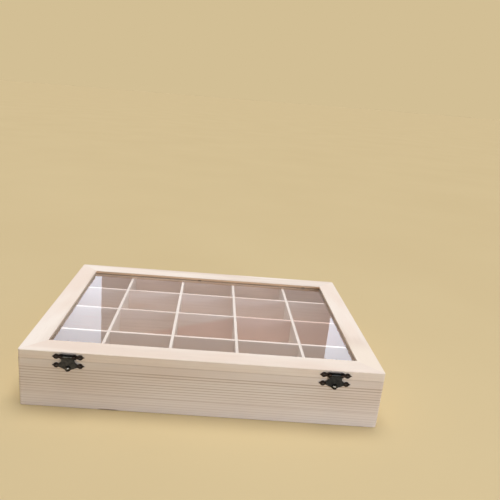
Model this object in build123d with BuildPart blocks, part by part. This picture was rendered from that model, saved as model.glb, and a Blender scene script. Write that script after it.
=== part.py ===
from build123d import *
import os

# Mineral specimen box: a shallow pine case of twenty compartments under a hinged, glazed lid.
# X runs along the length, Y from the front (latches) to the back (hinges), and Z is up.
# The origin is the middle of the underside.

os.makedirs("parts", exist_ok=True)

# Driving dimensions, in millimetres
length = 350
depth = 250
height = 60
columns = 5
rows = 4
corner_r = 2.5  # outer upright corners, rounded over
ease_r = 0.5  # top and bottom edges, broken with a small chamfer

# Case
bottom_t = 3
wall_t = 6
divider_t = 3
rabbet_d = 3  # how far a side board sits into the end of the front and back boards
housing_d = 2  # how far a divider sits into a board
joiner_fit = 0.1  # how much wider than its divider a slot or housing is cut

# Lid
lid_t = 8.7
lid_gap = 0.2  # between the lid and the boards, closed
rail_w = 22.5
lip_t = 4  # wood left above the pane
rebate_w = 6
pane_t = 2
pane_fit = 0.5  # gap between the pane's edge and its rebate
bead_recess = 0.2  # how far the beads stay above the lid's underside
bead_fit = 0.2  # between a bead and the rebate's wall
bead_bevel = 1

# Latches
latch_x = 127.2  # centre of each latch, either side of the middle
latch_half_w = 15.35  # centre to the tip of an ear
plate_t = 0.8
lid_ear_z = 55.2
case_ear_z = 46.1
ear_hole_u = 11.3
ear_r = 2.6
ear_neck_u = 7.4
ear_neck_h = 2.2  # half the height of an ear where it meets the plate
panel_h = 5.2  # plate between the lid's ears
barrel_z = 56.5
barrel_r = 1.9
barrel_gap = 0.3  # barrel to the front of the lid
barrel_half_w = 7.6
flap_knuckle_half_w = 4.3
knuckle_gap = 0.3
latch_pin_r = 0.7
pin_seat = 0.02  # clearance where a pin is held
pin_fit = 0.06  # running clearance where a knuckle turns on it
pin_proud = 0.15  # how far a pin stands out of its barrel at each end
flap_stand_off = 0.3  # flap to the plate behind it
stud_z = 44.2
stud_r = 1.0
stud_h = 1.7
hood_r = 2.8
hood_tip_r = 2.5
hood_rise = 1.3  # axis of the hood above the board
hood_roof = 1.4  # stud's centre to the flat top of the hood's hollow
cut_past = 1  # how far a cut runs on beyond the metal
flap_tip_z = 41.6

# Hinges
hinge_x = 114
hinge_w = 24
hinge_leaf_h = 7.8  # pin to the far edge of a leaf
hinge_barrel_r = 1.8
hinge_pin_r = 0.9
hinge_screw_dx = 8
hinge_screw_dz = 5.2

# Screws
screw_head_r = 1.45
screw_head_h = 0.75
screw_head_taper = 25
shank_r = 0.7
screw_hole_r = 0.85
screw_len = 4.8
screw_sides = 12  # small screws and their holes have twelve flats, which still look round

# Worked out from the dimensions above
case_top = height - lid_t - lid_gap
lid_z = height - lid_t
board_h = case_top - bottom_t
inner_x = length - 2 * wall_t
inner_y = depth - 2 * wall_t
pitch_x = (inner_x + divider_t) / columns
pitch_y = (inner_y + divider_t) / rows
cross_x = [pitch_x * (i - columns / 2) for i in range(1, columns)]
long_y = [pitch_y * (i - rows / 2) for i in range(1, rows)]
slot_cut = divider_t + joiner_fit
divider_reach = 2 * (housing_d - joiner_fit)
sight_x = length - 2 * rail_w
sight_y = depth - 2 * rail_w
rebate_x = sight_x + 2 * rebate_w
rebate_y = sight_y + 2 * rebate_w
pane_top = height - lip_t
front_y = -depth / 2
back_y = depth / 2
barrel_w = barrel_gap + barrel_r
barrel_y = front_y - barrel_w
hinge_axis_w = barrel_gap + hinge_barrel_r
hinge_y = back_y + hinge_axis_w
hinge_z = (case_top + lid_z) / 2


def save(piece, name):
    piece.part.label = name
    export_step(piece.part, f"parts/{name}.step")


# --- Case -------------------------------------------------------------------------------------

# Plywood bottom, glued flush under the four boards
with BuildPart() as bottom_panel:
    with BuildSketch():
        RectangleRounded(length, depth, corner_r)
    extrude(amount=bottom_t)
    chamfer(bottom_panel.edges().group_by(Axis.Z)[0], ease_r)
save(bottom_panel, "bottom_panel")

# Front and back boards run the full length. Each end has a rabbet for a side board,
# and the inner face has a housing for every cross divider.
for name, side in (("front_board", -1), ("back_board", 1)):
    inner_face_y = side * inner_y / 2
    with BuildPart() as board:
        with BuildSketch(Plane.XY.offset(bottom_t)):
            with Locations((0, side * (depth - wall_t) / 2)):
                Rectangle(length, wall_t)
            fillet(vertices().sort_by(Axis.Y)[::side][-2:], corner_r)
            with Locations([(end * (length - wall_t) / 2, inner_face_y) for end in (-1, 1)]):
                Rectangle(wall_t, 2 * rabbet_d, mode=Mode.SUBTRACT)
            with Locations([(x, inner_face_y) for x in cross_x]):
                Rectangle(slot_cut, 2 * housing_d, mode=Mode.SUBTRACT)
        extrude(amount=board_h)
    save(board, name)

# Side boards sit between them, with housings for the long dividers
for name, side in (("left_board", -1), ("right_board", 1)):
    with BuildPart() as side_board:
        with BuildSketch(Plane.XY.offset(bottom_t)):
            with Locations((side * (length - wall_t) / 2, 0)):
                Rectangle(wall_t, inner_y + 2 * rabbet_d)
            with Locations([(side * inner_x / 2, y) for y in long_y]):
                Rectangle(2 * housing_d, slot_cut, mode=Mode.SUBTRACT)
        extrude(amount=board_h)
    save(side_board, name)

# Long dividers are notched from above and cross dividers from below, so that they half-lap
for name, y in zip(("front_long_divider", "middle_long_divider", "back_long_divider"), long_y):
    with BuildPart() as long_divider:
        with BuildSketch(Plane((0, y, bottom_t), x_dir=(1, 0, 0), z_dir=(0, -1, 0))):
            with Locations((0, board_h / 2)):
                Rectangle(inner_x + divider_reach, board_h)
            with Locations([(x, board_h * 3 / 4) for x in cross_x]):
                Rectangle(slot_cut, board_h / 2, mode=Mode.SUBTRACT)
        extrude(amount=divider_t / 2, both=True)
    save(long_divider, name)

for number, x in enumerate(cross_x, start=1):
    with BuildPart() as cross_divider:
        with BuildSketch(Plane((x, 0, bottom_t), x_dir=(0, 1, 0), z_dir=(1, 0, 0))):
            with Locations((0, board_h / 2)):
                Rectangle(inner_y + divider_reach, board_h)
            with Locations([(y, board_h / 4) for y in long_y]):
                Rectangle(slot_cut, board_h / 2, mode=Mode.SUBTRACT)
        extrude(amount=divider_t / 2, both=True)
    save(cross_divider, f"cross_divider_{number}")


# --- Lid --------------------------------------------------------------------------------------

# The whole frame first, with its rebate and eased edges, then cut on the mitres into rails
with BuildPart() as lid_frame:
    with BuildSketch(Plane.XY.offset(lid_z)):
        RectangleRounded(length, depth, corner_r)
        Rectangle(sight_x, sight_y, mode=Mode.SUBTRACT)
    extrude(amount=lid_t)
    with BuildSketch(Plane.XY.offset(lid_z)):
        Rectangle(rebate_x, rebate_y)
    extrude(amount=pane_top - lid_z, mode=Mode.SUBTRACT)
    chamfer(lid_frame.edges().group_by(Axis.Z)[-1], ease_r)

front_left = (-length / 2, -depth / 2)
front_right = (length / 2, -depth / 2)
back_left = (-length / 2, depth / 2)
back_right = (length / 2, depth / 2)
sight_front_left = (-sight_x / 2, -sight_y / 2)
sight_front_right = (sight_x / 2, -sight_y / 2)
sight_back_left = (-sight_x / 2, sight_y / 2)
sight_back_right = (sight_x / 2, sight_y / 2)
rail_plans = {
    "front": (front_left, front_right, sight_front_right, sight_front_left),
    "back": (back_left, back_right, sight_back_right, sight_back_left),
    "left": (front_left, back_left, sight_back_left, sight_front_left),
    "right": (front_right, back_right, sight_back_right, sight_front_right),
}
for rail_name, corners in rail_plans.items():
    with BuildPart() as rail:
        add(lid_frame.part)
        with BuildSketch(Plane.XY.offset(lid_z)):
            Polygon(*corners, align=None)
        extrude(amount=lid_t, mode=Mode.INTERSECT)
    save(rail, f"lid_{rail_name}_rail")

with BuildPart() as glass_pane:
    with BuildSketch(Plane.XY.offset(pane_top - pane_t)):
        Rectangle(rebate_x - 2 * pane_fit, rebate_y - 2 * pane_fit)
    extrude(amount=pane_t)
save(glass_pane, "glass_pane")

# Beads below the pane, bevelled on the inner lower edge. The front and back ones run through.
bead_w = rebate_w - bead_fit
bead_x = rebate_x - 2 * bead_fit
bead_y = rebate_y - 2 * bead_fit
bead_z = lid_z + bead_recess
bead_h = pane_top - pane_t - bead_z
side_run = bead_y - 2 * bead_w
bead_starts = {
    "front": (Plane((0, -bead_y / 2, bead_z), x_dir=(0, 1, 0), z_dir=(1, 0, 0)), bead_x),
    "back": (Plane((0, bead_y / 2, bead_z), x_dir=(0, -1, 0), z_dir=(-1, 0, 0)), bead_x),
    "left": (Plane((-bead_x / 2, 0, bead_z), x_dir=(1, 0, 0), z_dir=(0, -1, 0)), side_run),
    "right": (Plane((bead_x / 2, 0, bead_z), x_dir=(-1, 0, 0), z_dir=(0, 1, 0)), side_run),
}
for bead_name, (plane, run) in bead_starts.items():
    with BuildPart() as bead:
        with BuildSketch(plane):
            with BuildLine():
                bevel = Line((bead_w - bead_bevel, 0), (bead_w, bead_bevel))
                Polyline(bevel @ 1, (bead_w, bead_h), (0, bead_h), (0, 0), bevel @ 0)
            make_face()
        extrude(amount=run / 2, both=True)
    save(bead, f"{bead_name}_pane_strip")


# --- Latches ----------------------------------------------------------------------------------
# Each latch is drawn on its own upright plane: u across from the latch's centre line,
# v up from the box's underside, and w out from the front boards.


def latch_plane(side, w=0):
    return Plane((side * latch_x, front_y - w, 0), x_dir=(1, 0, 0), z_dir=(0, -1, 0))


def ears(ear_z):
    """Two spade-shaped ears: each a round bulb about its screw, with a hollow neck and an ogee tip."""
    with BuildSketch() as pair:
        with BuildLine():
            bulb = CenterArc((ear_hole_u, ear_z), ear_r, 128, -94)
            TangentArc(bulb @ 1, (latch_half_w, ear_z), tangent=bulb % 1)
            neck = TangentArc(bulb @ 0, (ear_neck_u, ear_z + ear_neck_h), tangent=-(bulb % 0))
            Line(neck @ 1, (ear_neck_u, ear_z))
            mirror(about=Plane.XZ.offset(-ear_z))
        make_face()
        mirror(about=Plane.YZ)
        with Locations((-ear_hole_u, ear_z), (ear_hole_u, ear_z)):
            RegularPolygon(screw_hole_r, screw_sides, mode=Mode.SUBTRACT)
    return pair.sketch_local


def lid_plate(side):
    """Upper plate: ears, a middle panel, and a knuckle at each end of the barrel."""
    with BuildPart() as plate:
        with BuildSketch(latch_plane(side)):
            add(ears(lid_ear_z))
            with Locations((0, lid_ear_z)):
                Rectangle(2 * barrel_half_w, panel_h)
        extrude(amount=plate_t)
        # the barrel in one run, then a notch through barrel and plate for the hasp's knuckle
        with BuildSketch(Plane((side * latch_x, barrel_y, barrel_z), x_dir=(0, 1, 0), z_dir=(1, 0, 0))):
            Circle(barrel_r)
            with Locations((barrel_w / 2, -barrel_r / 2)):
                Rectangle(barrel_w, barrel_r)
            Circle(latch_pin_r + pin_seat, mode=Mode.SUBTRACT)
        extrude(amount=barrel_half_w, both=True)
        with BuildSketch(latch_plane(side)):
            with Locations((0, barrel_z)):
                Rectangle(2 * (flap_knuckle_half_w + knuckle_gap), 2 * (barrel_r + knuckle_gap))
        extrude(amount=barrel_w + barrel_r + cut_past, mode=Mode.SUBTRACT)
    return plate


def pin(x, y, z, radius, half):
    """A plain pin along X."""
    with BuildPart() as shaft:
        with Locations(Plane((x, y, z), z_dir=(1, 0, 0))):
            Cylinder(radius, 2 * half)
    return shaft


def flap_outline():
    """The hasp's outline: the right half, with neck, waist, flare and blunt tip, then its mirror."""
    with BuildSketch() as outline:
        with BuildLine():
            neck = Line((flap_knuckle_half_w, barrel_z), (flap_knuckle_half_w, 54.4))
            shoulder = ThreePointArc(neck @ 1, (5.8, 54.0), (6.3, 52.9))
            waist = ThreePointArc(shoulder @ 1, (6.3, 51.1), (7.5, 49.6))
            bell = ThreePointArc(waist @ 1, (8.9, 47.3), (8.3, 45.0))
            hollow = ThreePointArc(bell @ 1, (5.8, 43.9), (3.7, 43.2))
            ThreePointArc(hollow @ 1, (2.2, 42.1), (0, flap_tip_z))
            Polyline((0, flap_tip_z), (0, barrel_z), (flap_knuckle_half_w, barrel_z))
        make_face()
        mirror(about=Plane.YZ)
    return outline.sketch_local


def latch_flap(side):
    """The hasp: a knuckle on the pin, a flat shield, and a hood, open below, over the stud."""
    shield_w = plate_t + flap_stand_off
    hood_plane = Plane((side * latch_x, front_y - hood_rise, stud_z), x_dir=(1, 0, 0), z_dir=(0, 0, -1))
    knuckle_plane = Plane((side * latch_x, barrel_y, barrel_z), x_dir=(0, 1, 0), z_dir=(1, 0, 0))
    hood_run = stud_z - flap_tip_z
    with BuildPart() as flap:
        # solid hood: a ball over the stud that runs down to the tip as a tapering half tube
        with Locations((side * latch_x, front_y - hood_rise, stud_z)):
            Sphere(hood_r)
        with BuildSketch(hood_plane):
            Circle(hood_r)
        with BuildSketch(hood_plane.offset(hood_run)):
            Circle(hood_tip_r)
        loft()
        # the flat shield, and everything of the hood that lies behind it cut away
        with BuildSketch(latch_plane(side, shield_w)):
            add(flap_outline())
        extrude(amount=plate_t)
        with BuildSketch(latch_plane(side, shield_w)):
            add(flap_outline())
        extrude(amount=hood_r + hood_rise, mode=Mode.INTERSECT)
        # hollow of the hood, a tapering channel that is open below
        with BuildSketch(hood_plane.offset(-hood_roof)):
            Circle(hood_r - plate_t)
        with BuildSketch(hood_plane.offset(hood_run + cut_past)):
            Circle(hood_tip_r - plate_t)
        loft(mode=Mode.SUBTRACT)
        # the rolled knuckle
        with BuildSketch(knuckle_plane):
            Circle(barrel_r)
        extrude(amount=flap_knuckle_half_w, both=True)
        with BuildSketch(knuckle_plane):
            Circle(latch_pin_r + pin_fit)
        extrude(amount=flap_knuckle_half_w + cut_past, both=True, mode=Mode.SUBTRACT)
    return flap


def catch_plate(side):
    """Lower plate: ears and a shield that stays inside the hasp's outline."""
    with BuildPart() as plate:
        with BuildSketch(latch_plane(side)):
            add(ears(case_ear_z))
            with BuildLine():
                top_z = case_ear_z + ear_neck_h
                side_edge = ThreePointArc((ear_neck_u, 45.1), (5.1, 44.3), (3.2, 43.8))
                tip = ThreePointArc(side_edge @ 1, (1.7, 43.1), (0, 42.8))
                Polyline(tip @ 1, (0, top_z), (ear_neck_u, top_z), side_edge @ 0)
            make_face()
            mirror(about=Plane.YZ)
        extrude(amount=plate_t)
    return plate


def catch_stud(side):
    """The plain stud that stands on the catch plate."""
    with BuildPart() as stud:
        with BuildSketch(latch_plane(side, plate_t)):
            with Locations((0, stud_z)):
                Circle(stud_r)
        extrude(amount=stud_h)
    return stud


for name, side in (("left", -1), ("right", 1)):
    latch_pin = pin(side * latch_x, barrel_y, barrel_z, latch_pin_r, barrel_half_w + pin_proud)
    save(latch_pin, f"{name}_latch_pin")
    save(lid_plate(side), f"{name}_latch_plate")
    save(latch_flap(side), f"{name}_latch_flap")
    save(catch_plate(side), f"{name}_catch_plate")
    save(catch_stud(side), f"{name}_catch_stud")


# --- Hinges -----------------------------------------------------------------------------------

def hinge_leaf(side, up):
    """One leaf of a small butt hinge, flat on the back: up = 1 on the lid, with the middle
    knuckle, and -1 on the case, with the two outer ones."""
    third = hinge_w / 3
    clear = hinge_barrel_r + knuckle_gap
    centre = Vector(side * hinge_x, back_y, hinge_z)
    face = Plane(centre, x_dir=(-1, 0, 0), z_dir=(0, 1, 0))
    outer_runs = [(-hinge_w / 2, -third / 2 - knuckle_gap / 2), (third / 2 + knuckle_gap / 2, hinge_w / 2)]
    middle_run = [(-third / 2 + knuckle_gap / 2, third / 2 - knuckle_gap / 2)]
    knuckles = middle_run if up > 0 else outer_runs
    cut_centres = [-third, third] if up > 0 else [0]
    bore_r = hinge_pin_r + (pin_fit if up > 0 else pin_seat)
    with BuildPart() as leaf:
        with BuildSketch(face):
            with Locations((0, up * hinge_leaf_h / 2)):
                Rectangle(hinge_w, hinge_leaf_h)
            with Locations([(u, 0) for u in cut_centres]):
                Rectangle(third + knuckle_gap, 2 * clear, mode=Mode.SUBTRACT)
            with Locations([(u, up * hinge_screw_dz) for u in (-hinge_screw_dx, hinge_screw_dx)]):
                RegularPolygon(screw_hole_r, screw_sides, mode=Mode.SUBTRACT)
        extrude(amount=plate_t)
        for start, end in knuckles:
            knuckle_plane = Plane(centre + Vector(start, hinge_axis_w, 0), x_dir=(0, 1, 0), z_dir=(1, 0, 0))
            with BuildSketch(knuckle_plane):
                Circle(hinge_barrel_r)
                with Locations((plate_t / 2 - hinge_axis_w, up * clear / 2)):
                    Rectangle(plate_t, clear)
                Circle(bore_r, mode=Mode.SUBTRACT)
            extrude(amount=end - start)
    return leaf


for name, side in (("left", -1), ("right", 1)):
    save(hinge_leaf(side, -1), f"{name}_hinge_base_leaf")
    save(hinge_leaf(side, 1), f"{name}_hinge_lid_leaf")
    hinge_pin = pin(side * hinge_x, hinge_y, hinge_z, hinge_pin_r, hinge_w / 2 + pin_proud)
    save(hinge_pin, f"{name}_hinge_pin")


# --- Screws -----------------------------------------------------------------------------------

def screw_planes(facing, centre_x, offset_x, z):
    """Four planes, one behind each screw head, whose origins lie on the wood."""
    across = [side * centre_x + end * offset_x for side in (-1, 1) for end in (-1, 1)]
    face_y = facing * depth / 2
    return [Plane((x, face_y, z), x_dir=(-facing, 0, 0), z_dir=(0, facing, 0)) for x in across]


def screws(planes):
    """Small wood screws. A thread cuts its own hole, so the wood round it is left whole."""
    with BuildPart() as group:
        with BuildSketch(*[plane.offset(plate_t) for plane in planes]):
            RegularPolygon(screw_head_r, screw_sides)
        extrude(amount=screw_head_h, taper=screw_head_taper)
        with BuildSketch(*[plane.offset(-screw_len) for plane in planes]):
            RegularPolygon(shank_r, screw_sides)
        extrude(amount=screw_len + plate_t)
    return group


base_screw_z = hinge_z - hinge_screw_dz
top_screw_z = hinge_z + hinge_screw_dz
save(screws(screw_planes(-1, latch_x, ear_hole_u, case_ear_z)), "catch_screws")
save(screws(screw_planes(-1, latch_x, ear_hole_u, lid_ear_z)), "latch_screws")
save(screws(screw_planes(1, hinge_x, hinge_screw_dx, base_screw_z)), "hinge_base_screws")
save(screws(screw_planes(1, hinge_x, hinge_screw_dx, top_screw_z)), "hinge_lid_screws")
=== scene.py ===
# %% [markdown]
# # Mineral specimen box: finishes, glass and screws
# The packed model brings the box in, one object for each piece, in metres, with the origin in the
# middle of its underside. This lesson dresses those pieces: raw pine, plywood, dark antiqued
# hardware and a clear pane. It also makes the small screws that hold the latches and hinges, and
# sets up the floor, the light and the few things that the glass and metal mirror.

# %% The frame
import math

import bpy
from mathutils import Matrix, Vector


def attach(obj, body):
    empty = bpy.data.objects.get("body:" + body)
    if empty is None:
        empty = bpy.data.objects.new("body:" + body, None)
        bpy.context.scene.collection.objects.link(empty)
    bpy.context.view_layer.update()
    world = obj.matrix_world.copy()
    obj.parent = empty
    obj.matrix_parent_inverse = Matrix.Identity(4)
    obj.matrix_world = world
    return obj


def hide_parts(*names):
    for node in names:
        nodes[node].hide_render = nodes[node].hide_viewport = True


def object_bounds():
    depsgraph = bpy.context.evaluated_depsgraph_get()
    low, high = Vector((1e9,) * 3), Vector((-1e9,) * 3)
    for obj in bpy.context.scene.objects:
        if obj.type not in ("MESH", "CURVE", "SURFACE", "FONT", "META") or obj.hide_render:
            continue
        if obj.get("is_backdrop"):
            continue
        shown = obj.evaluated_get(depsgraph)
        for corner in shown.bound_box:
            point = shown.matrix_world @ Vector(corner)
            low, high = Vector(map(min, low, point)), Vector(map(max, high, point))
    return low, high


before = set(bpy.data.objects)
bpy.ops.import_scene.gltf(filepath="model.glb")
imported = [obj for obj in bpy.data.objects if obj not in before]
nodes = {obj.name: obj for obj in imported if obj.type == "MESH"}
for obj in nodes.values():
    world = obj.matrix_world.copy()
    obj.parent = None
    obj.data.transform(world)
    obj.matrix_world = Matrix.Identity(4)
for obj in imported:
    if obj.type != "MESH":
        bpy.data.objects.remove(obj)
cad_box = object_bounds()
scene = bpy.context.scene
scene.view_settings.view_transform = "Standard"
print("pieces from the model:", len(nodes))

# %% [markdown]
# ## Camera
# A camera needs a place, a direction and a lens. The box is looked at from the front, a little
# above the lid, through a fairly wide lens held near it, so the lid narrows strongly to the back.
# The camera is also rolled a few degrees, so the front edge runs down to the right. A constraint
# that tracks the box would be quicker to set up, but it would take that roll out.

# %% Camera
MM = 0.001
sensor_width = 36.0
focal_share = 518.6 / 500  # focal length over the width of the picture
camera_place = (-1.96, -563.6, 304.5)  # mm from the middle of the box's underside
camera_tilt = (73.058, -4.382, -0.009)  # degrees up from straight down, of roll, and of turn
camera_data = bpy.data.cameras.new("camera")
camera_data.sensor_width = sensor_width
camera_data.lens = sensor_width * focal_share
camera_data.shift_x = 0.0583
camera = bpy.data.objects.new("camera", camera_data)
camera.location = [place * MM for place in camera_place]
camera.rotation_euler = [math.radians(angle) for angle in camera_tilt]
scene.collection.objects.link(camera)
scene.camera = camera
print("camera lens:", round(camera_data.lens, 2), "mm")

# %% [markdown]
# ## Maths on sockets
# A node material is a sum written as boxes and wires. Writing the sum in Python is easier to read,
# so `Value` wraps one output socket and turns +, -, * and / into Math nodes. The reflected forms
# let a plain number stand on the left, as in `1 - mask`.


# %% Value
class Value:
    """A number, colour or vector that varies over a surface."""

    def __init__(self, finish, socket):
        self.finish, self.socket = finish, socket

    def math(self, operation, *others):
        inputs = dict(enumerate((self, *others)))
        return self.finish.node("ShaderNodeMath", {"operation": operation}, inputs)

    def __add__(self, other):
        return self.math("ADD", other)

    def __mul__(self, other):
        return self.math("MULTIPLY", other)

    def __sub__(self, other):
        return self.math("SUBTRACT", other)

    def __truediv__(self, other):
        return self.math("DIVIDE", other)

    def __rsub__(self, other):
        return self.math("MULTIPLY", -1) + other

    def __rtruediv__(self, other):
        return self.math("POWER", -1) * other

    __radd__, __rmul__ = __add__, __mul__

    def rise(self, low, high):
        """0 below low, 1 above high, and a smooth step between. It falls when low is above high."""
        if low > high:
            return 1 - self.rise(high, low)
        settings = {"interpolation_type": "SMOOTHSTEP"}
        return self.finish.node("ShaderNodeMapRange", settings, {0: self, 1: low, 2: high})


print("ways to work on a value:", sum(callable(part) for part in vars(Value).values()))

# %% [markdown]
# ## Node trees
# `Shading` holds one node tree and makes every kind of node with one method, which takes the
# node's type, its settings and what goes into its sockets. `Finish` is the tree of a material. It
# starts with the place on the object, in metres, because a pattern on that place is at its real
# size and stays put when a lid or a latch turns.


# %% Shading and Finish
class Shading:
    """The node tree of a material or a world."""

    def __init__(self, owner):
        owner.use_nodes = True
        self.tree = owner.node_tree
        self.tree.nodes.clear()

    def node(self, kind, settings=None, inputs=None, output=0):
        made = self.tree.nodes.new(kind)
        for key, value in (settings or {}).items():
            setattr(made, key, value)
        for key, value in (inputs or {}).items():
            if isinstance(value, Value):
                self.tree.links.new(value.socket, made.inputs[key])
            else:
                made.inputs[key].default_value = value
        return Value(self, made.outputs[output])

    def parts(self, vector):
        split = self.node("ShaderNodeSeparateXYZ", inputs={0: vector}).socket.node
        return [Value(self, socket) for socket in split.outputs]

    def vector(self, x, y, z):
        return self.node("ShaderNodeCombineXYZ", inputs={0: x, 1: y, 2: z})

    def noise(self, vector, scale, detail=2.0, rough=0.5):
        inputs = {"Vector": vector, "Scale": scale, "Detail": detail, "Roughness": rough}
        return self.node("ShaderNodeTexNoise", inputs=inputs)

    def blend(self, factor, first, second):
        """A colour between two others."""
        inputs = {0: factor, 6: first, 7: second}
        return self.node("ShaderNodeMix", {"data_type": "RGBA"}, inputs, output=2)

    def end(self, kind, shader):
        """Wires a shader to the tree's output node."""
        output = self.tree.nodes.new(kind)
        self.tree.links.new(shader.socket, output.inputs["Surface"])


class Finish(Shading):
    """One material, with the place on the object that it colours."""

    def __init__(self, name):
        self.material = bpy.data.materials.new(name)
        super().__init__(self.material)
        self.place = self.node("ShaderNodeTexCoord", output="Object")
        self.x, self.y, self.z = self.parts(self.place)

    def bump(self, height, depth, strength):
        """The surface direction over a small relief: height is in shares of depth."""
        inputs = {"Strength": strength, "Distance": depth, "Height": height}
        return self.node("ShaderNodeBump", inputs=inputs)

    def surface(self, inputs):
        return self.node("ShaderNodeBsdfPrincipled", inputs=inputs)

    def show(self, shader):
        self.end("ShaderNodeOutputMaterial", shader)
        return self.material


def dress(material, *names):
    """Puts a material on every slot of these nodes."""
    for name in names:
        for slot in nodes[name].material_slots:
            slot.material = material


print("slots to dress:", sum(len(piece.material_slots) for piece in nodes.values()))

# %% [markdown]
# ## Colours of raw pine
# Sanded pine without varnish is cream, warmer in some patches and pinkish in others. Late wood,
# which grows at the end of each summer, is browner. Shaders reckon in linear light, in which a
# middle grey is 0.2 and not 0.5, so `colour` turns the values that the eye reads into that.


# %% Colours
def colour(red, green, blue):
    """A colour as the eye reads it, 0 to 255, turned into the linear light that shaders use."""
    parts = [c / 255 for c in (red, green, blue)]
    return [c / 12.92 if c < 0.04 else ((c + 0.055) / 1.055) ** 2.4 for c in parts] + [1.0]


pine_pale = colour(243, 230, 213)
pine_warm = colour(236, 218, 196)
pine_late = colour(190, 164, 140)
pine_pink = colour(232, 205, 184)
fibre_dark = colour(205, 182, 160)
# Dark brown for a stain where boards meet and for painted shade in gaps, hollows and along the
# pane.
stain_and_shade = colour(132, 96, 72)
print("pale pine in linear light:", [round(c, 2) for c in pine_pale[:3]])

# %% [markdown]
# ## Growth rings
# Rings are cylinders about the heart of the tree, so a board shows them as lines where its faces
# cut those cylinders. One way would be a flat stripe texture on each face, but then the faces
# don't agree at the corners. Here the rings are worked out in the solid: the distance from a heart
# line that runs along the board, divided by the ring width. Each ring starts pale, darkens to
# late wood and ends more sharply. Noise squeezed along the grain bends the rings, and finer noise
# draws the fibres. Whatever else a board shows, such as a chip, a stain or painted shade, is a mark
# laid on top.

# %% Growth rings
hair = 0.1 * MM  # how softly the edge of a mark ends
wood_gloss = 0.3
fibre_relief = 0.12 * MM


class Pine:
    """One board's finish: rings cut by its faces, then blush, fibres and marks."""

    def __init__(self, name, run, heart, ring, contrast, seed, bend=1.0, even=0.25):
        """run: the grain's axis. heart: the tree's heart line, as its place across the board and
        its height. ring: width of a ring. contrast: strength of the late wood. seed: which tree.
        bend: how far the rings wander. even: strength of the faintest ring."""
        self.finish = finish = Finish(name)
        x, y, z = finish.x, finish.y, finish.z
        along, across = (x, y) if run == "X" else (y, x)

        def squeezed(share):
            """The place with its way along the grain cut to a share, which draws noise out."""
            return finish.vector(along * share + seed, across, z)

        self.slow = squeezed(0.12)
        from_heart = across - heart[0]
        up_from_heart = z - heart[1]
        radius = (from_heart * from_heart + up_from_heart * up_from_heart).math("SQRT")
        broad_wander = finish.noise(self.slow, 16, 1.0) * 2.6
        small_wander = finish.noise(self.slow, 90, 1.0) * 0.5
        rings = radius / ring + (broad_wander + small_wander) * bend
        step = rings.math("FRACT")
        which = finish.node(
            "ShaderNodeTexWhiteNoise",
            {"noise_dimensions": "1D"},
            {"W": rings.math("FLOOR") + seed},
            output="Value",
        )
        summer = step.rise(0.6, 0.82) * step.rise(1.0, 0.92)
        self.late = summer * (which * (1 - even) + even) * contrast
        self.fibres = finish.noise(squeezed(0.03), 1500, 3.0, 0.6)
        self.clouds = finish.noise(squeezed(0.35), 22, 2.0)
        self.marks = []

    def mark(self, mask, tone):
        """A patch of another colour, such as a chip or a sawn edge."""
        self.marks.append((mask, tone))

    def done(self, pale=pine_pale, warm=pine_warm, pink=0.2):
        """Lays the colours over each other. pink: strength of the pinkish clouds."""
        finish = self.finish
        tone = finish.blend(self.clouds.rise(0.35, 0.65), pale, warm)
        blush = finish.noise(self.slow, 60, 2.0).rise(0.5, 0.7)
        tone = finish.blend(blush * pink, tone, pine_pink)
        tone = finish.blend(self.late, tone, pine_late)
        tone = finish.blend(self.fibres.rise(0.52, 0.75) * 0.22, tone, fibre_dark)
        for mask, patch in self.marks:
            tone = finish.blend(mask, tone, patch)
        relief = self.fibres * 0.7 - self.late * 0.03
        inputs = {
            "Base Color": tone,
            "Roughness": self.fibres * 0.12 + 0.58,
            "Specular IOR Level": wood_gloss,
            "Normal": finish.bump(relief, fibre_relief, 0.35),
        }
        return finish.show(finish.surface(inputs))


print("fibres stand", fibre_relief / MM, "mm high at most")

# %% [markdown]
# ## The four boards of the case
# The front is a board with close, straight rings, so its heart line is put far below and the
# rings bend little. Near its top edge the rings fade, and a few darker lines stand out. Its left
# end is darker: partly a stain where two boards meet, and partly painted shade where the rounded
# corner turns from the light. Its lower part is painted paler, painted light that lifts the shade
# near the floor. The back is plainer and pinker, and the sides run from front to back. One
# material for all four would be less work, but then they would look cut from the same plank.


# %% Extra rings for a board
def fade_rings(board, low, high, left=0.15):
    """The rings die away from the height low up to high, down to the share that is left."""
    board.late = board.late * (board.finish.z.rise(high, low) * (1 - left) + left)


def add_line(board, height, strength):
    """One dark growth line at a height, which wanders a little and comes and goes."""
    drift = (board.finish.noise(board.slow, 30, 1.0) - 0.5) * 1.5 * MM
    off = (board.finish.z + drift - height).math("ABSOLUTE")
    patchy = board.finish.noise(board.slow, 45, 2.0).rise(0.3, 0.6)
    drawn = off.rise(0.5 * MM, 0.15 * MM) * (patchy * 0.6 + 0.4) * strength
    board.late = board.late.math("MAXIMUM", drawn)


def extent(name, axis):
    """The lowest and the highest place of a node along an axis."""
    places = [vertex.co[axis] for vertex in nodes[name].data.vertices]
    return min(places), max(places)


half_width, half_depth = extent("back_board", 0)[1], extent("back_board", 1)[1]
far_below = -600 * MM
print("case:", round(2000 * half_width), "mm wide,", round(2000 * half_depth), "mm deep")

# %% Boards of the case
front = Pine("pine_front", "X", (-half_depth, far_below), 2.8 * MM, 1.0, 3.0, bend=0.3, even=0.45)
fade_rings(front, 42 * MM, 43 * MM)
add_line(front, 42.6 * MM, 1.0)
add_line(front, 39.7 * MM, 0.9)
add_line(front, 15.5 * MM, 0.95)
add_line(front, 51.0 * MM, 0.25)
# Partly painted shade: the left end darkens where the rounded corner turns from the light, and more
# at the foot, where two boards meet.
left_end = front.finish.x.rise(1.1 * MM - half_width, 0.3 * MM - half_width)
foot = front.finish.z.rise(15 * MM, 13 * MM)
front.mark(left_end * (foot * 0.25 + 0.35), stain_and_shade)
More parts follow.
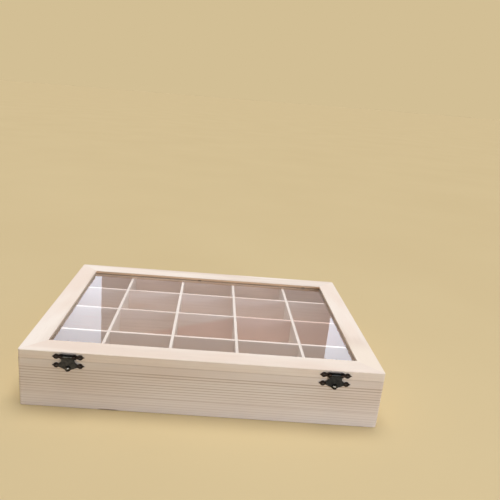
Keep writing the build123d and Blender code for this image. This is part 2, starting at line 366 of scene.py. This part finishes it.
# Painted light: the front is painted paler from mid height down to its foot, lifting the shade near
# the floor.
front.mark(front.finish.z.rise(36 * MM, 6 * MM) * 0.45, colour(252, 241, 232))
dress(front.done(colour(235, 222, 209), colour(229, 212, 196), pink=0.15), "front_board")

back = Pine("pine_back", "X", (half_depth, far_below), 3.1 * MM, 0.25, 11.0, bend=0.5)
dress(back.done(colour(238, 218, 200), colour(230, 204, 182), pink=0.5), "back_board")
left = Pine("pine_left", "Y", (-half_width, far_below), 3.4 * MM, 0.5, 23.0)
dress(left.done(), "left_board")
right = Pine("pine_right", "Y", (half_width, far_below), 3.0 * MM, 0.5, 31.0)
dress(right.done(), "right_board")
print("boards dressed:", [name for name in nodes if name.endswith("board")])

# %% [markdown]
# ## The lid's four rails
# The lid is a frame of four rails, mitred at the corners, and the grain turns with each rail. They
# are cut nearer the heart than the boards, so their rings are wide and faint. The edge round the
# opening is fresh-cut, more orange at the front and back and painted paler at the sides, partly
# painted light that makes up for the shade the side edges stand in. Low down, where the edge meets
# the pane, it carries painted shade, and the back one has two dark flecks of painted shadow in the
# gaps by the pane. The right rail is paler towards the front. The edge could have a material of
# its own, but each rail is one solid, so a mark that knows its place is simpler.


# %% Lid rails
sight = (extent("lid_right_rail", 0)[0], extent("lid_back_rail", 1)[0])  # half the opening
rail_centre = (half_depth - sight[1]) / 2
rail_heart_height = -40 * MM
pane_top = extent("glass_pane", 2)[1]
lid_tones = (colour(247, 235, 220), colour(241, 223, 205))
# Partly painted light: the side edges are painted near white to make up for the shade they stand
# in.
lip_pale_and_light = colour(255, 234, 208)
lip_orange = colour(255, 217, 176)
# Painted shadow: where the two dark gap flecks sit along the back edge.
gap_shadow_places = (-12 * MM, 130 * MM)


def add_lip(rail, tone):
    """The edge round the opening: its own tone, with painted shade low down where it meets the
    pane.
    """
    finish = rail.finish
    sides = ((finish.x, sight[0]), (finish.y, sight[1]))
    inside = [place.math("ABSOLUTE").rise(half + hair, half) for place, half in sides]
    on_lip = inside[0] * inside[1]
    rail.mark(on_lip, tone)
    # Painted shade: the edge darkens in its lowest millimetre, where it meets the pane.
    shaded_low = finish.z.rise(pane_top + 1.1 * MM, pane_top + 0.5 * MM)
    rail.mark(on_lip * shaded_low * 0.75, stain_and_shade)


def add_gap_shadows(rail):
    """Painted shadow: small dark flecks low on the edge that faces the opening, where gaps by the
    pane lie in shade.
    """
    x, y, z = rail.finish.x, rail.finish.y, rail.finish.z
    low = z.rise(pane_top + 1.3 * MM, pane_top + 0.9 * MM) * y.rise(sight[1] + hair, sight[1])
    for place in gap_shadow_places:
        near = (x - place).math("ABSOLUTE").rise(2.6 * MM, 1.6 * MM)
        rail.mark(near * low * 0.8, colour(50, 36, 28))


for side, sign, seed in (("front", -1, 41.0), ("back", 1, 53.0)):
    heart = (sign * (half_depth - rail_centre), rail_heart_height)
    rail = Pine(f"pine_lid_{side}", "X", heart, 4.5 * MM, 0.3, seed)
    add_lip(rail, lip_orange)
    if side == "back":
        add_gap_shadows(rail)
    dress(rail.done(*lid_tones), f"lid_{side}_rail")
for side, sign, contrast, seed in (("left", -1, 0.35, 61.0), ("right", 1, 0.4, 73.0)):
    heart = (sign * (half_width - rail_centre), rail_heart_height)
    rail = Pine(f"pine_lid_{side}", "Y", heart, 5.0 * MM, contrast, seed)
    if side == "right":
        rail.mark(rail.finish.y.rise(-50 * MM, -85 * MM) * 0.65, colour(251, 238, 218))
    add_lip(rail, lip_pale_and_light)
    dress(rail.done(*lid_tones, pink=0.1), f"lid_{side}_rail")
print("opening:", [round(2000 * half) for half in sight], "mm")

# %% [markdown]
# ## Dividers and pane strips
# The dividers are thin planed slats. Three run along the box and the rest cross them. The middle
# one has a darker, pinker patch of painted shade in its lower part, whose edge slopes and wavers,
# so it has a material of its own. The others share one for each direction, and the front one of
# the three is painted paler, painted light where it stands in the shade of the lid. Slim strips
# under the rails hold the pane; the front and back ones are painted paler and more orange, light
# that makes up for the shade under the rails.

# %% Dividers and strips
long_pine = Pine("pine_long", "X", (0, far_below), 4.2 * MM, 0.15, 83.0)
# Painted light: the front divider is painted paler where the lid's front rail shades it.
long_pine.mark(long_pine.finish.y.rise(-30 * MM, -40 * MM) * 0.6, colour(255, 242, 230))
long_material = long_pine.done(colour(245, 230, 219), colour(237, 216, 201), pink=0.6)
dress(long_material, "front_long_divider", "back_long_divider")

middle_pine = Pine("pine_middle", "X", (0, far_below), 5.0 * MM, 0.25, 89.0, bend=2.0)
x, z = middle_pine.finish.x, middle_pine.finish.z
# Painted shade: a darker, pinker patch below a sloping, wavering edge.
shade_edge = z - x * 0.3 - middle_pine.clouds * 12 * MM
middle_pine.mark(shade_edge.rise(39 * MM, 32 * MM) * 0.8, colour(232, 196, 178))
middle_material = middle_pine.done(colour(244, 231, 220), colour(236, 218, 204), pink=0.2)
dress(middle_material, "middle_long_divider")

cross_pine = Pine("pine_cross", "Y", (0, far_below), 3.8 * MM, 0.15, 97.0)
cross_material = cross_pine.done(colour(252, 243, 232), colour(246, 236, 224), pink=0.0)
cross_dividers = [name for name in nodes if name.startswith("cross_divider")]
dress(cross_material, *cross_dividers)

# Painted light: these strips are painted paler and more orange than their wood, for the shade under
# the rails.
strip_x = Pine("pine_strip_x", "X", (0, far_below), 4 * MM, 0.3, 101.0)
strip_x_material = strip_x.done(colour(252, 228, 202), colour(248, 218, 190))
dress(strip_x_material, "front_pane_strip", "back_pane_strip")
strip_y = Pine("pine_strip_y", "Y", (0, far_below), 4 * MM, 0.3, 103.0)
dress(strip_y.done(), "left_pane_strip", "right_pane_strip")
print("cross dividers:", len(cross_dividers))
print("pine finishes:", sum(m.name.startswith("pine") for m in bpy.data.materials))

# %% [markdown]
# ## Plywood
# The bottom is a thin sheet of three veneers. Its faces look much like pine, a little greyer. Its
# edge shows the veneers as bands, with a thin dark glue line between them. The three could be
# separate sheets, but a sheet this thin shows them only by colour, so the edge is coloured by
# height alone and the faces by a squeezed noise. One chip has come off the front edge: a faint
# dent in the bump, with painted shade in its hollow.


# %% Plywood
def plywood():
    finish = Finish("plywood")
    x, y, z = finish.x, finish.y, finish.z
    figure = finish.noise(finish.vector(x * 0.08, y, z), 120, 3.0)
    fibres = finish.noise(finish.vector(x * 0.03, y, z), 1400, 3.0)
    tone = finish.blend(figure.rise(0.3, 0.7), colour(252, 240, 230), colour(246, 232, 220))
    veneer = extent("bottom_panel", 2)[1] / 3
    layer = (z / veneer).math("FRACT")
    glue = layer.rise(0.86, 0.95) + layer.rise(0.14, 0.05)
    middle = (z - 1.5 * veneer).math("ABSOLUTE").rise(0.55 * veneer, 0.45 * veneer)
    tone = finish.blend(middle * 0.3, tone, colour(235, 214, 196))
    tone = finish.blend(glue * 0.25, tone, colour(150, 122, 100))
    tone = finish.blend(fibres.rise(0.5, 0.75) * 0.25, tone, fibre_dark)
    # Painted shade: the chip's hollow is painted dark.
    chip = x.rise(-101 * MM, -95 * MM) * x.rise(-77 * MM, -84 * MM)
    chip = chip * y.rise(-124 * MM, -124.4 * MM) * z.rise(1.4 * MM, 0.9 * MM)
    tone = finish.blend(chip * 0.8, tone, stain_and_shade)
    inputs = {
        "Base Color": tone,
        "Roughness": fibres * 0.1 + 0.62,
        "Specular IOR Level": wood_gloss,
        "Normal": finish.bump(fibres - glue * 0.5 - chip, 0.1 * MM, 0.3),
    }
    return finish.show(finish.surface(inputs))


dress(plywood(), "bottom_panel")
print("plywood:", len(nodes["bottom_panel"].data.polygons), "faces")

# %% [markdown]
# ## Antiqued hardware
# The latches and hinges are stamped steel with a dark bronze finish. It is nearly black in places
# and a warm grey where it is worn. Plain black metal would look like a hole in the wood, so
# noise chooses between three colours and raises or lowers the gloss, and a fine bump gives the
# orange-peel of a dipped finish. Where a thumb lifts the latch, the hood is paler: partly rubbed
# to bare metal, and partly a painted highlight laid where the hood shines.


# %% Dark bronze
def bronze(name, tones, dull, rub_tone_and_highlight=None):
    """tones: the finish where it is dark, worn and bright. dull: its roughness.
    rub_tone_and_highlight:
    the paler colour on the hood where it stands out farthest, partly rubbed metal, partly a painted
    highlight."""
    dark, worn, bright = tones
    finish = Finish(name)
    patches = finish.noise(finish.place, 420, 3.0, 0.6)
    grit = finish.noise(finish.place, 3200, 2.0)
    tone = finish.blend(patches.rise(0.35, 0.62), dark, worn)
    tone = finish.blend(patches.rise(0.58, 0.78) * 0.6, tone, bright)
    rough = dull - patches * 0.12 + grit * 0.08
    # Painted highlight and wear: a paler, glossier patch on the hood's proud part.
    if rub_tone_and_highlight:
        below_barrel = finish.z.rise(48 * MM, 46 * MM)
        above_tip = finish.z.rise(43.5 * MM, 44.7 * MM)
        proud = finish.y.rise(-half_depth - 2.4 * MM, -half_depth - 4.0 * MM)
        rub_and_highlight = below_barrel * above_tip * proud
        tone = finish.blend(rub_and_highlight * 0.8, tone, rub_tone_and_highlight)
        rough = rough - rub_and_highlight * 0.1
    inputs = {
        "Base Color": tone,
        "Metallic": 1.0 - grit * 0.2,
        "Roughness": rough,
        "Normal": finish.bump(grit, 0.06 * MM, 0.25),
    }
    return finish.show(finish.surface(inputs))


plate_tones = (colour(29, 21, 17), colour(47, 37, 30), colour(72, 60, 50))
left_flap_tones = (colour(39, 37, 34), colour(56, 54, 50), colour(84, 82, 76))
right_flap_tones = (colour(29, 29, 29), colour(43, 44, 44), colour(70, 72, 72))
screw_tones = (colour(32, 28, 26), colour(50, 45, 41), colour(82, 76, 70))
# Partly painted highlight: the hood's paler tone, partly rubbed metal.
rubbed_metal_and_highlight = colour(108, 104, 97)
bronze_screw = bronze("bronze_screw", screw_tones, 0.42)
hardware = [name for name in nodes if "latch" in name or "hinge" in name or "catch" in name]
dress(bronze("bronze_plate", plate_tones, 0.44), *hardware)
dress(bronze("bronze_left_flap", left_flap_tones, 0.4, rubbed_metal_and_highlight), "left_latch_flap")
dress(bronze("bronze_right_flap", right_flap_tones, 0.4, rubbed_metal_and_highlight), "right_latch_flap")
print("hardware pieces:", len(hardware))

# %% [markdown]
# ## The pane
# Clear glass mirrors more the flatter it is looked at, which the glass shader does by itself. Real
# glass also lets lamps through, but a path tracer finds few lamps behind a bent ray. So for rays
# that go to a lamp, and for light that bounces, the pane is simply transparent. A few faint smears
# dull the mirror, as fingers do.


# %% Glass
def glass():
    finish = Finish("pane")
    smears = finish.noise(finish.vector(finish.x, finish.y * 0.4, finish.z), 18, 3.0)
    inputs = {
        "Base Color": finish.blend(smears, colour(255, 255, 255), colour(250, 252, 252)),
        "Roughness": smears.rise(0.55, 0.8) * 0.02,
        "IOR": 1.5,
        "Transmission Weight": 1.0,
    }
    clear = finish.surface(inputs)
    through = finish.node("ShaderNodeBsdfTransparent")
    to_lamp = finish.node("ShaderNodeLightPath", output="Is Shadow Ray")
    bounced = finish.node("ShaderNodeLightPath", output="Is Diffuse Ray")
    inputs = {0: to_lamp.math("MAXIMUM", bounced), 1: clear, 2: through}
    return finish.show(finish.node("ShaderNodeMixShader", inputs=inputs))


dress(glass(), "glass_pane")
print("pane:", [round(side / MM) for side in nodes["glass_pane"].dimensions], "mm")

# %% [markdown]
# ## Screws
# Sixteen small round-headed screws hold the latches and hinges. Each could be modelled and placed
# by hand, but they repeat, so Geometry Nodes make them. `Geometry` is to a geometry tree what
# `Shading` is to a material: one method makes any node. Named inputs hold the screw's sizes.


# %% Geometry trees
class Geometry:
    """A Geometry Nodes tree with named inputs."""

    def __init__(self, name):
        self.tree = bpy.data.node_groups.new(name, "GeometryNodeTree")
        self.inputs = {}
        self.entry = self.tree.nodes.new("NodeGroupInput")

    def input(self, name, kind):
        item = self.tree.interface.new_socket(name, in_out="INPUT", socket_type=kind)
        self.inputs[name] = item.identifier
        return self.entry.outputs[name]

    def node(self, kind, settings=None, inputs=None, output=0):
        made = self.tree.nodes.new(kind)
        for key, value in (settings or {}).items():
            setattr(made, key, value)
        for key, value in (inputs or {}).items():
            values = value if isinstance(value, list) else [value]
            for one in values:
                if isinstance(one, bpy.types.NodeSocket):
                    self.tree.links.new(one, made.inputs[key])
                else:
                    made.inputs[key].default_value = one
        return made.outputs[output]

    def times(self, first, second):
        return self.node("ShaderNodeMath", {"operation": "MULTIPLY"}, {0: first, 1: second})

    def vector(self, x, y, z):
        return self.node("ShaderNodeCombineXYZ", inputs={0: x, 1: y, 2: z})

    def moved(self, shape, up, **others):
        """A shape lifted along Z, and turned or scaled if others says so."""
        inputs = {"Geometry": shape, "Translation": self.vector(0.0, 0.0, up), **others}
        return self.node("GeometryNodeTransform", inputs=inputs)

    def cut(self, operation, inputs):
        return self.node("GeometryNodeMeshBoolean", {"operation": operation}, inputs)

    def end(self, result):
        self.tree.interface.new_socket(
            "Geometry", in_out="OUTPUT", socket_type="NodeSocketGeometry"
        )
        exit_node = self.tree.nodes.new("NodeGroupOutput")
        self.tree.links.new(result, exit_node.inputs[0])


print("screw groups in the model:", sum(name.endswith("screws") for name in nodes))

# %% [markdown]
# ## One slotted screw
# The head is the upper half of a flattened ball, joined to a tapering shank, with a narrow block
# cut out of it for the screwdriver. Its edges stay sharp where two faces meet at a clear angle,
# and the rest is shaded smooth.


# %% One screw
slot_share = 0.3
tip_share = 0.25


def screw_head(tree, radius, height, wide):
    ball_inputs = {"Segments": 32, "Rings": 18, "Radius": 1.0}
    ball = tree.node("GeometryNodeMeshUVSphere", inputs=ball_inputs)
    ball = tree.moved(ball, 0.0, Scale=tree.vector(radius, radius, height))
    block = tree.node("GeometryNodeMeshCube", inputs={"Size": tree.vector(wide, wide, height)})
    block = tree.moved(block, tree.times(height, 0.5))
    return tree.cut("INTERSECT", {1: [ball, block]})


def screw_shank(tree, radius, length, head_height):
    """A cone that points down and starts a little way up inside the head."""
    taper = {"Radius Top": tree.times(radius, tip_share), "Radius Bottom": radius}
    cone = tree.node("GeometryNodeMeshCone", inputs={"Vertices": 20, **taper, "Depth": length})
    return tree.moved(cone, tree.times(head_height, 0.2), Rotation=(math.pi, 0.0, 0.0))


def sharp_edges_kept(tree, shape, angle_limit=0.6):
    inputs = {"Geometry": shape, "Shade Smooth": True}
    shape = tree.node("GeometryNodeSetShadeSmooth", inputs=inputs)
    angle = tree.node("GeometryNodeInputMeshEdgeAngle")
    inputs = {0: angle, 1: angle_limit}
    sharp = tree.node("FunctionNodeCompare", {"operation": "GREATER_THAN"}, inputs)
    inputs = {"Geometry": shape, "Selection": sharp, "Shade Smooth": False}
    return tree.node("GeometryNodeSetShadeSmooth", {"domain": "EDGE"}, inputs)


def slotted_screw(tree, head_radius, head_height, shank_radius, length):
    wide = tree.times(head_radius, 3.0)
    head = screw_head(tree, head_radius, head_height, wide)
    shank = screw_shank(tree, shank_radius, length, head_height)
    whole = tree.cut("UNION", {1: [head, shank]})
    slot_size = tree.vector(tree.times(head_radius, slot_share), wide, head_height)
    slot = tree.node("GeometryNodeMeshCube", inputs={"Size": slot_size})
    slot = tree.moved(slot, tree.times(head_height, 1.0))
    return sharp_edges_kept(tree, tree.cut("DIFFERENCE", {0: whole, 1: slot}))


print("slot width:", slot_share, "of the head's radius, tip:", tip_share, "of the shank's")

# %% [markdown]
# ## Copies on points
# The screw goes to a point for each place, turned to face out of the box and spun by a fixed
# random angle, because nobody lines slots up. The copies are made real at the end, since the
# exported model has no copies.


# %% Screws on points
def screw_tree():
    tree = Geometry("slotted_screws")
    points = tree.input("Points", "NodeSocketGeometry")
    sizes = ("Head radius", "Head height", "Shank radius", "Length")
    screw = slotted_screw(tree, *[tree.input(size, "NodeSocketFloat") for size in sizes])
    facing = tree.input("Facing", "NodeSocketVector")
    seed = tree.input("Seed", "NodeSocketInt")
    material = tree.input("Material", "NodeSocketMaterial")
    spin_inputs = {2: 0.0, 3: math.pi, "Seed": seed}
    spin = tree.node("FunctionNodeRandomValue", {"data_type": "FLOAT"}, spin_inputs, output=1)
    spin = tree.node("FunctionNodeEulerToRotation", inputs={0: tree.vector(0.0, 0.0, spin)})
    aim = tree.node("FunctionNodeAlignRotationToVector", {"axis": "Z"}, {"Vector": facing})
    turn = tree.node("FunctionNodeRotateRotation", {"rotation_space": "LOCAL"}, {0: aim, 1: spin})
    spread = {"Points": points, "Instance": screw, "Rotation": turn}
    result = tree.node("GeometryNodeInstanceOnPoints", inputs=spread)
    result = tree.node("GeometryNodeRealizeInstances", inputs={0: result})
    result = tree.node("GeometryNodeSetMaterial", inputs={0: result, "Material": material})
    tree.end(result)
    return tree


screws_made = screw_tree()
print("nodes in the screw tree:", len(screws_made.tree.nodes))

# %% [markdown]
# ## Screws in their places
# The model has plain screws for these to stand for, several in one piece. Their places could be
# typed in again, but then they could drift from the model, so they are read from its meshes: the
# points are sorted along the box and split wherever there is a gap. The nodes' result is turned
# into a plain mesh, one for each group, and it takes the place of the model's own.


# %% Screws placed
def solids_of(name, gap=3 * MM):
    """The boxes of a node's separate solids, which lie apart along X."""
    places = sorted((v.co.copy() for v in nodes[name].data.vertices), key=lambda p: p.x)
    groups = [[places[0]]]
    for place in places[1:]:
        if place.x - groups[-1][-1].x > gap:
            groups.append([])
        groups[-1].append(place)
    corners = [[[p[i] for p in group] for i in range(3)] for group in groups]
    return [([min(c) for c in axes], [max(c) for c in axes]) for axes in corners]


def screws_at(name, seats, facing, seed):
    """One object with a screw on each seat."""
    mesh = bpy.data.meshes.new(name + "_seats")
    mesh.from_pydata(seats, [], [])
    screws = bpy.data.objects.new("slotted_" + name, mesh)
    scene.collection.objects.link(screws)
    modifier = screws.modifiers.new("screws", "NODES")
    modifier.node_group = screws_made.tree
    inputs = {
        "Head radius": 1.45 * MM,
        "Head height": 0.85 * MM,
        "Shank radius": 0.7 * MM,
        "Length": 5.2 * MM,
        "Facing": (0.0, float(facing), 0.0),
        "Seed": seed,
        "Material": bronze_screw,
    }
    for label, value in inputs.items():
        modifier[screws_made.inputs[label]] = value
    evaluated = screws.evaluated_get(bpy.context.evaluated_depsgraph_get())
    done = bpy.data.meshes.new_from_object(evaluated)
    screws.modifiers.remove(modifier)
    screws.data = done
    return screws


plate_thickness = 0.8 * MM
screw_groups = (
    ("latch_screws", "lid", -1, 5),
    ("catch_screws", "case", -1, 8),
    ("hinge_lid_screws", "lid", 1, 13),
    ("hinge_base_screws", "case", 1, 21),
)
for name, body, facing, seed in screw_groups:
    seat_y = facing * (half_depth + plate_thickness)
    boxes = solids_of(name)
    seats = [((low[0] + high[0]) / 2, seat_y, (low[2] + high[2]) / 2) for low, high in boxes]
    screws = screws_at(name, seats, facing, seed)
    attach(screws, body)
    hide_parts(name)
    print(screws.name, len(seats), "screws,", len(screws.data.polygons), "faces")

# %% [markdown]
# ## Floor
# The box stands on a plain warm floor, which also throws warm light up its sides. The floor
# reaches far out, so that its edge is lost in the backdrop. It has no shine, because a shiny floor
# would mirror the lamps in pools.


# %% Floor
def floor_finish():
    finish = Finish("floor")
    mottle = finish.noise(finish.place, 3.0, 3.0)
    tone = finish.blend(mottle, colour(210, 189, 145), colour(216, 196, 152))
    inputs = {"Base Color": tone, "Roughness": 0.8, "Specular IOR Level": 0.0}
    return finish.show(finish.surface(inputs))


def sheet(name, corners, material):
    """One flat face that belongs to the stage and not to the box."""
    mesh = bpy.data.meshes.new(name)
    mesh.from_pydata(corners, [], [(0, 1, 2, 3)])
    mesh.materials.append(material)
    made = bpy.data.objects.new(name, mesh)
    scene.collection.objects.link(made)
    made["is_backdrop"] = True
    return made


def level_corners(left, right, near, far, height):
    return [(left, near, height), (right, near, height), (right, far, height), (left, far, height)]


reach = 30.0
sheet("floor", level_corners(-reach, reach, -reach, reach, 0), floor_finish())
print("floor:", 2 * reach, "m across")

# %% [markdown]
# ## Sky
# A pale sky all round fills the shadows. What it shows and what it gives are two things: rays from
# the camera, and those that metal and glass send on, see a backdrop in the floor's colour, while
# the wood gets a much dimmer, neutral light.

# %% Sky
backdrop = colour(211, 191, 149)
skylight = (0.22, 0.22, 0.23, 1.0)
world = bpy.data.worlds.new("studio")
scene.world = world
sky = Shading(world)
seen_by = ("Is Camera Ray", "Is Glossy Ray", "Is Transmission Ray")
camera_ray, glossy_ray, clear_ray = [sky.node("ShaderNodeLightPath", output=ray) for ray in seen_by]
seen = (camera_ray + glossy_ray + clear_ray).math("MINIMUM", 1.0)
sky_tone = sky.blend(seen, skylight, backdrop)
sky_inputs = {"Color": sky_tone, "Strength": 1.0}
sky.end("ShaderNodeOutputWorld", sky.node("ShaderNodeBackground", inputs=sky_inputs))
print("sky nodes:", len(sky.tree.nodes))

# %% [markdown]
# ## Lamps
# The main light is a broad sun, nearly overhead. It leans a little to the back, so the box throws
# a soft shadow forward and its front is calmer than its lid. Two weak, cool fills come in low
# from the front right: a second sun, and a wide-edged spot on the right end of the front. Area
# lamps would do for the box alone, but they leave bright pools with hard ends on the floor.


# %% Lamps
def lamp(kind, name, power, tone, place, aim=(0, 0, 0)):
    """A lamp that no mirror shows. It shines from place towards aim."""
    data = bpy.data.lights.new(name, kind)
    data.energy = power
    data.color = tone
    made = bpy.data.objects.new(name, data)
    made.location = place
    made.rotation_euler = (Vector(place) - Vector(aim)).to_track_quat("Z", "Y").to_euler()
    made.visible_glossy = made.visible_transmission = False
    scene.collection.objects.link(made)
    return data


broad = math.radians(40)
overhead = lamp("SUN", "overhead", 2.4, (1.0, 0.99, 1.0), (0.05, 0.10, 1.0))
front_fill = lamp("SUN", "front_fill", 0.4, (0.88, 0.97, 1.16), (0.6, -1.0, 0.12))
overhead.angle = front_fill.angle = broad
right_end = (0.27, -0.13, 0.0)
low_fill = lamp("SPOT", "low_fill", 26.0, (0.84, 0.99, 1.26), (1.1, -1.4, 0.25), right_end)
low_fill.spot_size = math.radians(30)
low_fill.spot_blend = 1.0
low_fill.shadow_soft_size = 0.2
print("lamps:", [light.name for light in bpy.data.lights])

# %% [markdown]
# ## Reflections
# A polished pane shows what stands behind the box, and dark metal is little but its reflections.
# A whole room could be built for them. Here five glowing cards do it: two bright windows and a
# pale wall at the back, a dark ceiling, and a low strip in front that gives the latches their
# bright edges. Only reflections see the cards, and raw wood reflects too little to be lit by them.
# The strip stays lower than the pane, which would otherwise mirror it to anyone behind the box.


# %% Cards
def glossy_only(name, corners, light):
    """A sheet that glows in reflections and is seen nowhere else."""
    finish = Finish(name)
    glow = finish.node("ShaderNodeEmission", inputs={"Color": (*light, 1.0), "Strength": 1.0})
    made = sheet(name, corners, finish.show(glow))
    made.visible_camera = made.visible_diffuse = made.visible_shadow = False
    made.visible_transmission = False


def card(name, left, right, low, high, away, light):
    """An upright card that faces the box."""
    corners = [(left, away, low), (right, away, low), (right, away, high), (left, away, high)]
    glossy_only(name, corners, light)


window_y, wall_y, strip_at_y = 1.4, 1.5, -0.4
window_low, window_high, ceiling = 0.45, 0.95, 1.5
card("left_window", -1.3, -0.425, window_low, window_high, window_y, (3.3, 3.5, 4.1))
card("right_window", 0.516, 1.3, window_low, window_high, window_y, (4.0, 4.3, 5.0))
card("far_wall", -3.0, 3.0, 0.0, 1.6, wall_y, (0.96, 0.8, 0.87))
card("key", -0.35, 0.35, 0.0, 0.055, strip_at_y, (13.0, 13.2, 13.6))
overhead_corners = level_corners(-reach, reach, -reach, window_y, ceiling)
glossy_only("overhead_dark", overhead_corners, (0.1, 0.1, 0.1))

# %% [markdown]
# ## Sizes and the end
# The model's box and the dressed box are both gathered, and the dressed size is printed.
# The dressed box must fill the same space as the model.

# %% Sizes
visual_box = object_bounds()
boxes = {"cad": [list(c) for c in cad_box], "visual": [list(c) for c in visual_box]}
print("size:", [round((b - a) / MM, 2) for a, b in zip(*visual_box)], "mm")
